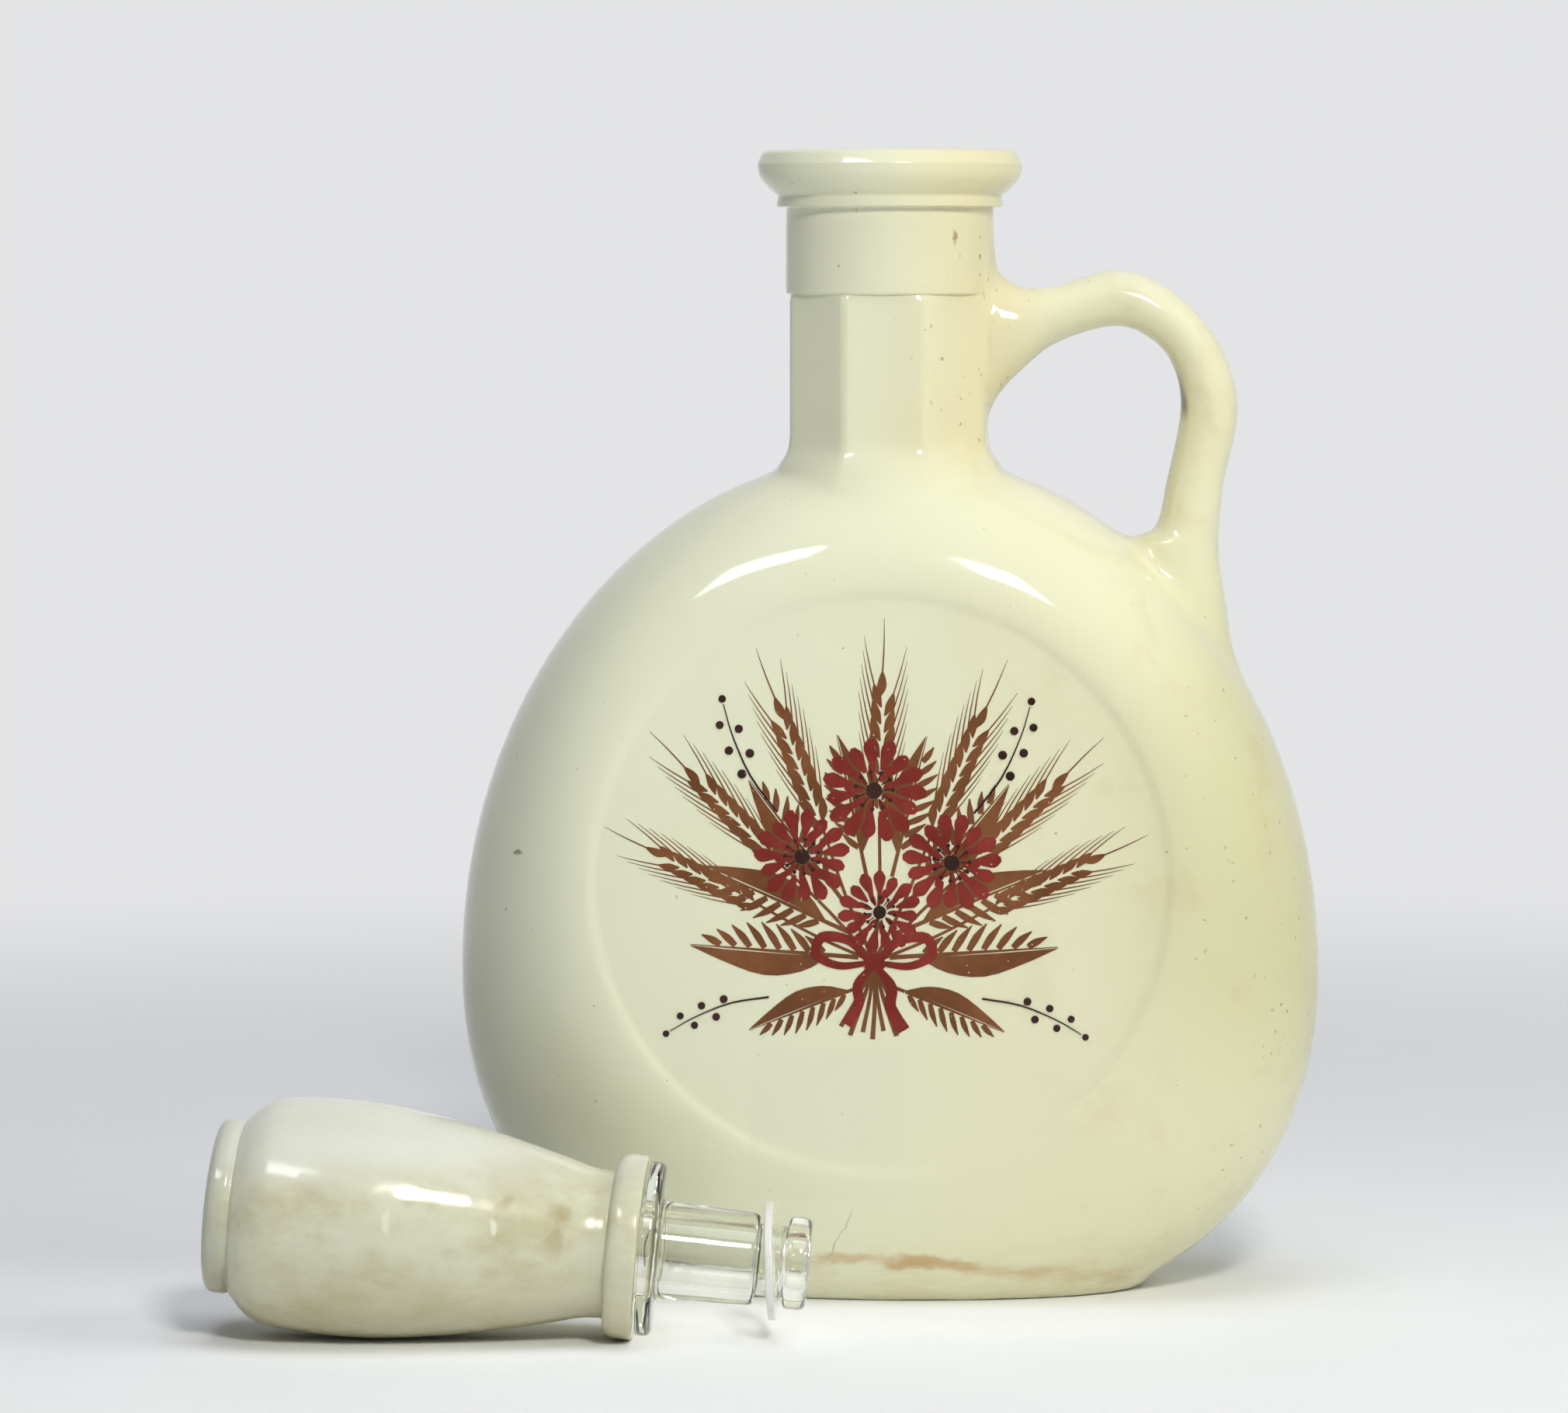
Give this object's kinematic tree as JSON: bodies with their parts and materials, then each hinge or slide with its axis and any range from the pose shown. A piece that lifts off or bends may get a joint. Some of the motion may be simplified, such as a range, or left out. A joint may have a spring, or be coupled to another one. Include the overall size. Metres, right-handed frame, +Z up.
{
  "type": "whiskey decanter",
  "caption": "Cream-coated glass flask decanter with round flat panels, octagonal neck and loop handle, with its hollow knob stopper, clear plug and sealing washer lying beside it.",
  "frame": {"origin": "centre of the bottle's flat base, on the table", "axes": "+Z up along the neck, +X towards the handle, -Y out of the decorated front panel; the stopper lies in front, to the -X side"},
  "size_m": [0.1958, 0.1198, 0.2093],
  "materials": {
    "coated_glass": "opaque glossy cream fired-on coat, aged yellow, with fine rust specks",
    "coated_knob": "opaque glossy cream coat, mottled beige by handling",
    "clear_glass": "clear polished glass",
    "washer_plastic": "translucent soft plastic"
  },
  "bodies": {
    "bottle": {"bottle": "coated_glass"},
    "stopper": {"stopper_head": "coated_knob", "stopper_plug": "clear_glass"},
    "washer": {"seal_washer": "washer_plastic"}
  },
  "joints": [
    {"name": "stopper_lift", "type": "slide", "parent": "bottle", "child": "stopper", "axis": [0, 0, 1], "range_m": [0, 0.26]},
    {"name": "washer_turn", "type": "hinge", "parent": "stopper", "child": "washer", "pos_m": [-0.01696, -0.06601, 0.01401], "axis": [-0.9993, -0.0262, -0.0283], "continuous": true}
  ]
}
